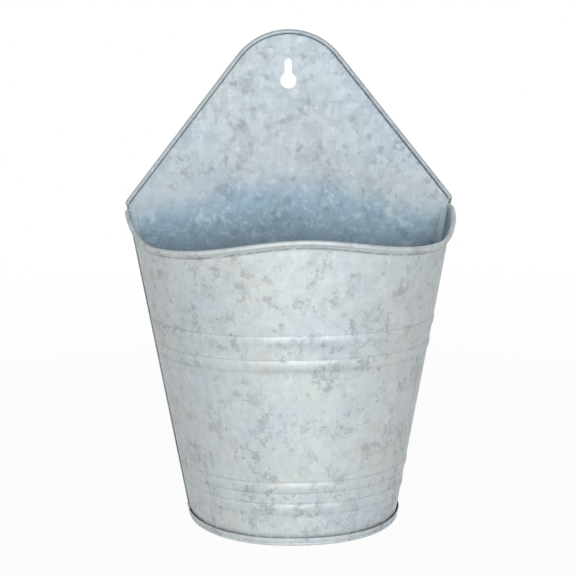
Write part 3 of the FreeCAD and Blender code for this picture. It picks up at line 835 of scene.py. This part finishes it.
class Shading:
    """Short way to add and link the nodes of one material or world."""

    def __init__(self, owner):
        owner.use_nodes = True
        self.tree = owner.node_tree
        self.tree.nodes.clear()

    def add(self, kind, settings=None, **links):
        """New node with its settings, whose inputs are linked or set by name or by _number."""
        node = self.tree.nodes.new("ShaderNode" + kind)
        for name, value in (settings or {}).items():
            setattr(node, name, value)
        for name, value in links.items():
            self.put(node.inputs[int(name[1:])] if name[1:].isdigit() else node.inputs[name],
                     value)
        return node

    def put(self, socket, value):
        """Link an input to another node's output, or set it.  Colours get full alpha."""
        if isinstance(value, bpy.types.NodeSocket):
            self.tree.links.new(value, socket)
        else:
            socket.default_value = (*value, 1.0) if socket.type == "RGBA" else value

    def maths(self, operation, first, *others, clamp=False):
        """Sum, product or the like of two or more numbers."""
        for other in others:
            first = self.add("Math", {"operation": operation, "use_clamp": clamp},
                             _0=first, _1=other).outputs[0]
        return first

    def vector(self, operation, first, **links):
        """Sum, product or the like of vectors."""
        return self.add("VectorMath", {"operation": operation}, _0=first, **links).outputs[0]

    def between(self, value, low, high, start=0.0, end=1.0, smooth=True):
        """Value taken from low to high and mapped, clamped, from start to end."""
        kind = "SMOOTHSTEP" if smooth else "LINEAR"
        return self.add("MapRange", {"interpolation_type": kind}, _0=value, _1=low, _2=high,
                        _3=start, _4=end).outputs[0]

    def mix(self, share, first, second, blend="MIX"):
        """Colour mixed from first to second."""
        return self.add("Mix", {"data_type": "RGBA", "blend_type": blend}, _0=share,
                        _6=first, _7=second).outputs[2]

    def millimetres(self):
        """Place on the part, in millimetres."""
        spot = self.add("TexCoord").outputs["Object"]
        return self.vector("SCALE", spot, Scale=1 / MM)

    def cloud(self, place, width, detail=2.0, rough=0.5):
        """Soft noise with features of about a width."""
        return self.add("TexNoise", Vector=place, Scale=1 / width, Detail=detail,
                        Roughness=rough).outputs

    def mark(self, name):
        """One of the marks that the sheet's vertices carry."""
        return self.add("Attribute", {"attribute_name": name}).outputs["Fac"]

    def moved(self, place, by, amount):
        """Place shifted by a colour centred on zero."""
        centred = self.vector("SUBTRACT", by, _1=(0.5, 0.5, 0.5))
        return self.vector("ADD", place, _1=self.vector("SCALE", centred, Scale=amount))

    def uneven(self, share, first, second):
        """Share with its soft edge made irregular by two clouds."""
        edge = self.maths("MULTIPLY", share, self.maths("SUBTRACT", 1.0, share))
        clouds = self.maths("SUBTRACT", self.maths("ADD", first, second), 1.0)
        shift = self.maths("MULTIPLY", clouds, 6.0, edge)
        return self.maths("ADD", share, shift, clamp=True)

    def facets(self, lean, amount):
        """Surface normal tilted a little, another way on each crystal."""
        normal = self.add("NewGeometry").outputs["Normal"]
        return self.vector("NORMALIZE", self.moved(normal, lean, amount))

    def seen(self):
        """1 where the camera or a mirror looks, and 0 where light falls."""
        path = self.add("LightPath").outputs
        return self.maths("MAXIMUM", path["Is Camera Ray"], path["Is Glossy Ray"],
                          path["Is Transmission Ray"])

    def finish(self, output, share, first, second):
        """Output that shows two shaders, mixed by a share."""
        mixed = self.add("MixShader", Fac=share, _1=first.outputs[0], _2=second.outputs[0])
        self.add(output, Surface=mixed.outputs[0])


# Widths of the zinc's features in millimetres, and how far ragged edges and bends shift them.
RAGGED, RAGGED_SHIFT = 3.0, 3.4
CROWD, SMUDGE, PIT, FROST, TARNISH, STREAK = 17, 5.2, 0.95, 8.0, 38, 1.6
BEND, BEND_SHIFT, SWIRL = 9, 16.0, 5.5
DIRT_AND_SHADE, GRAIN = 4.0, 1 / 1.7
STREAK_SHAPE = (1.0, 1.0, 0.22)  # streaks are that much narrower than high
# Share of the colour that frost, smudges and pits take, and of that wear where the inside's
# shade is painted.
FROST_SHARE, SMUDGE_SHARE, PIT_SHARE, PAINTED_SHADE_WEAR = 0.42, 0.5, 0.68, 0.6
STREAK_TONE, CRYSTAL_TONE = 0.03, 0.05  # how much lighter or darker they are


def galvanised(name, zinc, wear=1.0):
    """Weathered zinc: faint crystals, clustered smudges and pits, tarnish; dirt and painted
    shade in the folds, painted shade and reflections inside.
    """
    finish = zinc_finish()
    material = bpy.data.materials.new(name)
    m = Shading(material)
    place = m.millimetres()
    painted_shade = m.mark("inside")
    # Smudges and pits are weaker where the inside's shade is painted.
    away_from_painted_shade = m.between(painted_shade, 0.0, 1.0, 1.0, PAINTED_SHADE_WEAR)

    # Where the crystals, smudges, pits, frost and streaks are.
    ragged = m.moved(place, m.cloud(place, RAGGED, 3.0, 0.7)["Color"], RAGGED_SHIFT)
    crystals = m.add("TexVoronoi", {"distance": "MANHATTAN"}, Vector=ragged,
                     Scale=MM / finish.crystal).outputs["Color"]
    tone = m.add("SeparateColor", Color=crystals).outputs
    crowd = m.cloud(place, CROWD)["Fac"]
    hue = m.cloud(place, TARNISH)["Fac"]
    smudge = m.cloud(ragged, SMUDGE, 6.0, 0.72)["Fac"]
    least = m.between(crowd, 0.36, 0.64, 0.585, 0.455)
    smudge = m.between(m.maths("SUBTRACT", smudge, least), 0.0, 0.085)
    smudge = m.maths("MULTIPLY", smudge, m.between(tone[0], 0.0, 1.0, 0.10, 1.0))
    pits = m.between(m.cloud(place, PIT, 3.0, 0.7)["Fac"], 0.56, 0.68)
    pits = m.maths("MULTIPLY", pits, m.between(crowd, 0.40, 0.60))
    frost = m.between(m.cloud(ragged, FROST, 5.0, 0.66)["Fac"], 0.53, 0.68)
    streak = m.cloud(m.vector("MULTIPLY", place, _1=STREAK_SHAPE), STREAK, 2.0, 0.6)["Fac"]

    # Colour of the open zinc, then of the painted shade inside, with painted pale and dark
    # reflections.
    base = m.mix(m.between(hue, 0.50, 0.34), zinc, finish.warm, "MULTIPLY")
    base = m.mix(m.between(hue, 0.50, 0.66), base, finish.cool, "MULTIPLY")
    base = m.mix(m.maths("MULTIPLY", frost, FROST_SHARE * wear), base, finish.frost)
    # The inside's painted shade: a cloud places pale frost patches as painted reflections and
    # dark strokes as painted dark reflections.
    painted_reflection_swirl = m.moved(place, m.cloud(place, BEND, 1.0)["Color"], BEND_SHIFT)
    painted_reflection_swirl = m.cloud(painted_reflection_swirl, SWIRL, 3.0, 0.6)["Fac"]
    inner = m.mix(m.between(painted_reflection_swirl, 0.50, 0.74, 0.0, 0.42), finish.inner_shade_colour, finish.frost)
    inner = m.mix(m.between(painted_reflection_swirl, 0.47, 0.28, 0.0, 0.5), inner, finish.darkest_inner_shade)
    base = m.mix(m.uneven(painted_shade, hue, crowd), base, inner)

    # Wear, tone, and dirt with painted shade in folds and seams, over both.
    for stain, share in ((smudge, SMUDGE_SHARE), (pits, PIT_SHARE)):
        base = m.mix(m.maths("MULTIPLY", stain, away_from_painted_shade, share * wear), base, finish.smudge)
    streaks = m.between(streak, 0.3, 0.7, -STREAK_TONE, STREAK_TONE, smooth=False)
    spangle = m.between(tone[1], 0.0, 1.0, 1 - CRYSTAL_TONE * wear, 1 + CRYSTAL_TONE * wear,
                        smooth=False)
    shaded = m.vector("SCALE", base, Scale=m.maths("ADD", streaks, spangle))
    # Dirt and painted shade in folds, seams and along rib edges, broken into patches by a cloud.
    dirt_and_shade = m.between(m.cloud(place, DIRT_AND_SHADE)["Fac"], 0.22, 0.55)
    base = m.mix(m.maths("MULTIPLY", m.mark("crease_grime_and_shade"), dirt_and_shade), shaded, finish.grime_and_shade)

    # Gloss and fine relief.
    rough = m.maths("ADD", m.between(tone[2], 0.0, 1.0, 0.50, 0.60),
                    m.maths("MULTIPLY", smudge, 0.12))
    height = m.maths("ADD", m.maths("MULTIPLY", m.cloud(place, GRAIN)["Fac"], 0.4),
                     m.maths("MULTIPLY", smudge, -0.5), m.maths("MULTIPLY", streak, 0.25))
    bump = m.add("Bump", Strength=0.22, Distance=0.05 * MM, Height=height,
                 Normal=m.facets(crystals, 0.05)).outputs[0]
    finish_surface(m, base, rough, bump, 0.30, 0.3)
    return material


def finish_surface(m, base, rough, bump, metallic, specular):
    """Shader and output of a metal's material."""
    shader = m.add("BsdfPrincipled", Roughness=rough, Metallic=metallic, Normal=bump)
    m.put(shader.inputs["Base Color"], base)
    m.put(shader.inputs["Specular IOR Level"], specular)
    m.add("OutputMaterial", Surface=shader.outputs[0])


def wire_steel():
    """Plain drawn wire, dulled and faintly streaked."""
    material = bpy.data.materials.new("Drawn wire")
    m = Shading(material)
    streak = m.cloud(m.millimetres(), 1.25, 4.0, 0.7)["Fac"]
    wire = zinc_finish().wire
    base = m.mix(streak, [0.7 * part for part in wire], wire)
    rough = m.between(streak, 0.2, 0.8, 0.35, 0.55)
    bump = m.add("Bump", Strength=0.2, Distance=0.03 * MM, Height=streak).outputs[0]
    finish_surface(m, base, rough, bump, 1.0, 0.5)
    return material


def pale_floor():
    """Matt floor that the camera and mirrors see near white, with a soft shadow on it."""
    material = bpy.data.materials.new("Pale floor")
    m = Shading(material)
    spot = m.add("TexCoord").outputs["Object"]
    dust = m.cloud(spot, 1 / 6, 3.0)["Fac"]
    floor = studio().floor
    dimmer = [0.985 * part for part in floor]
    diffuse = m.add("BsdfDiffuse", Color=m.mix(dust, dimmer, floor))
    glow = m.add("Emission", Color=WHITE, Strength=studio().glow)
    distance = m.add("VectorMath", {"operation": "LENGTH"}, _0=spot).outputs["Value"]
    share = m.maths("MULTIPLY", m.seen(), m.between(distance, 0.15, 1.2, 0.95, 1.0))
    m.finish("OutputMaterial", share, diffuse, glow)
    return material


# ---------------- stage

WHITE = (1.0, 1.0, 1.0)
SKY_TINT = (1.0, 1.0, 0.95)  # colour of the light from all round
# Each lamp's name, place, width and tint.  All shine at one place.
LAMPS = (
    ("Key", (0.12, -2.0, 0.38), 1.1, (0.985, 1.0, 1.0)),
    ("Fill", (-1.7, -0.35, 0.4), 0.8, (1.0, 1.0, 0.92)),
    ("Rear", (0.7, 1.8, 0.7), 1.0, WHITE),
)
LAMP_TARGET = (0.0, 0.0, 0.15)
# The camera's place, what it looks at, and its roll in degrees.
CAMERA_PLACE = (-0.082677, -1.175239, 0.337721)
CAMERA_TARGET = (-0.00476, 0.0071, 0.14805)
CAMERA_ROLL = -0.553
FLOOR_RADII = (0.3, 0.8, 2.0, 5.0, 12.0)


def aim(thing, target, roll=0.0):
    """Turn a lamp or camera to look at a target."""
    turn = (Vector(target) - thing.location).to_track_quat("-Z", "Y").to_matrix().to_4x4()
    place = Matrix.Translation(thing.location)
    thing.matrix_world = place @ turn @ Matrix.Rotation(math.radians(roll), 4, "Z")


def add_lamp(name, place, width, tint, power):
    """Round soft lamp."""
    lamp = bpy.data.lights.new(name, "AREA")
    lamp.shape = "DISK"
    lamp.size = width
    lamp.energy = power
    lamp.color = tint
    thing = put_in_scene(name, lamp)
    thing.location = place
    aim(thing, LAMP_TARGET)


def make_floor():
    """Wide disc under the planter, in rings."""
    spokes = 64
    points = [(0, 0, 0)] + [(radius * math.cos(turn), radius * math.sin(turn), 0)
                            for radius in FLOOR_RADII for turn in bend(0, 360, spokes)[:-1]]
    faces = []
    for spoke, after in ring(1, spokes):
        faces.append((0, spoke, after))
        for row in range(0, spokes * (len(FLOOR_RADII) - 1), spokes):
            faces.append((row + spoke, row + spokes + spoke, row + spokes + after, row + after))
    mesh = bpy.data.meshes.new("studio_floor")
    mesh.from_pydata(points, [], faces)
    mesh.materials.append(pale_floor())
    floor = put_in_scene("studio_floor", mesh)


def make_world():
    """Even light all round; the camera and mirrors see plain white."""
    world = bpy.data.worlds.new("Studio")
    bpy.context.scene.world = world
    m = Shading(world)
    light = m.add("Background", Color=SKY_TINT, Strength=studio().sky)
    white = m.add("Background", Color=WHITE)
    m.finish("OutputWorld", m.seen(), light, white)


def make_camera():
    """Camera a little left of the middle, looking slightly down."""
    data = bpy.data.cameras.new("Camera")
    data.sensor_width = 36.0
    data.lens = studio().lens
    data.clip_end = 50.0
    camera = put_in_scene("Camera", data)
    camera.location = CAMERA_PLACE
    aim(camera, CAMERA_TARGET, CAMERA_ROLL)
    bpy.context.scene.camera = camera


# ---------------- operators and panel

class PLANTER_OT_shell(bpy.types.Operator):
    """Make the tapered shell with its ribs and wavy wired rim"""
    bl_idname = "planter.shell"
    bl_label = "Shell"

    def execute(self, context):
        make_shell()
        return {"FINISHED"}


class PLANTER_OT_panel(bpy.types.Operator):
    """Make the gabled back panel with its keyhole and folded edges"""
    bl_idname = "planter.panel"
    bl_label = "Back panel"

    def execute(self, context):
        make_panel()
        return {"FINISHED"}


class PLANTER_OT_pan(bpy.types.Operator):
    """Make the clasped base pan"""
    bl_idname = "planter.pan"
    bl_label = "Base pan"

    def execute(self, context):
        make_pan()
        return {"FINISHED"}


class PLANTER_OT_wires(bpy.types.Operator):
    """Finish the rim wire and the gable wire"""
    bl_idname = "planter.wires"
    bl_label = "Wires"

    def execute(self, context):
        steel = wire_steel()
        for name in ("rim_wire", "gable_wire"):
            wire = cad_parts[name]
            wire.data.materials.clear()
            wire.data.materials.append(steel)
        return {"FINISHED"}


class PLANTER_OT_stage(bpy.types.Operator):
    """Set up the floor, the lamps and the camera"""
    bl_idname = "planter.stage"
    bl_label = "Studio"

    def execute(self, context):
        context.scene.view_settings.view_transform = "Standard"
        make_world()
        make_floor()
        make_camera()
        powers = (studio().key_power, studio().fill_power, studio().rear_power)
        for lamp, power in zip(LAMPS, powers):
            add_lamp(*lamp, power)
        return {"FINISHED"}


class PLANTER_PT_sidebar(bpy.types.Panel):
    """Buttons for the planter's pieces and settings"""
    bl_idname = "PLANTER_PT_sidebar"
    bl_label = "Wall planter"
    bl_space_type = "VIEW_3D"
    bl_region_type = "UI"
    bl_category = "Planter"

    def draw(self, context):
        for operator in OPERATORS:
            self.layout.operator(operator.bl_idname)
        for settings in (sheet_sizes(), zinc_finish(), studio()):
            box = self.layout.box()
            for name in settings.__annotations__:
                box.prop(settings, name)


OPERATORS = (PLANTER_OT_shell, PLANTER_OT_panel, PLANTER_OT_pan, PLANTER_OT_wires,
             PLANTER_OT_stage)
SETTINGS = {"planter_sizes": PLANTER_sheet_sizes, "planter_finish": PLANTER_zinc_finish,
            "planter_studio": PLANTER_studio}
CLASSES = (*SETTINGS.values(), *OPERATORS, PLANTER_PT_sidebar)


def register():
    for item in CLASSES:
        bpy.utils.register_class(item)
    for name, settings in SETTINGS.items():
        setattr(bpy.types.Scene, name, PointerProperty(type=settings))


def unregister():
    for name in SETTINGS:
        delattr(bpy.types.Scene, name)
    for item in reversed(CLASSES):
        bpy.utils.unregister_class(item)


def main():
    register()
    bpy.ops.planter.shell()
    bpy.ops.planter.panel()
    bpy.ops.planter.pan()
    bpy.ops.planter.wires()
    bpy.ops.planter.stage()


if __name__ == "__main__":
    main()
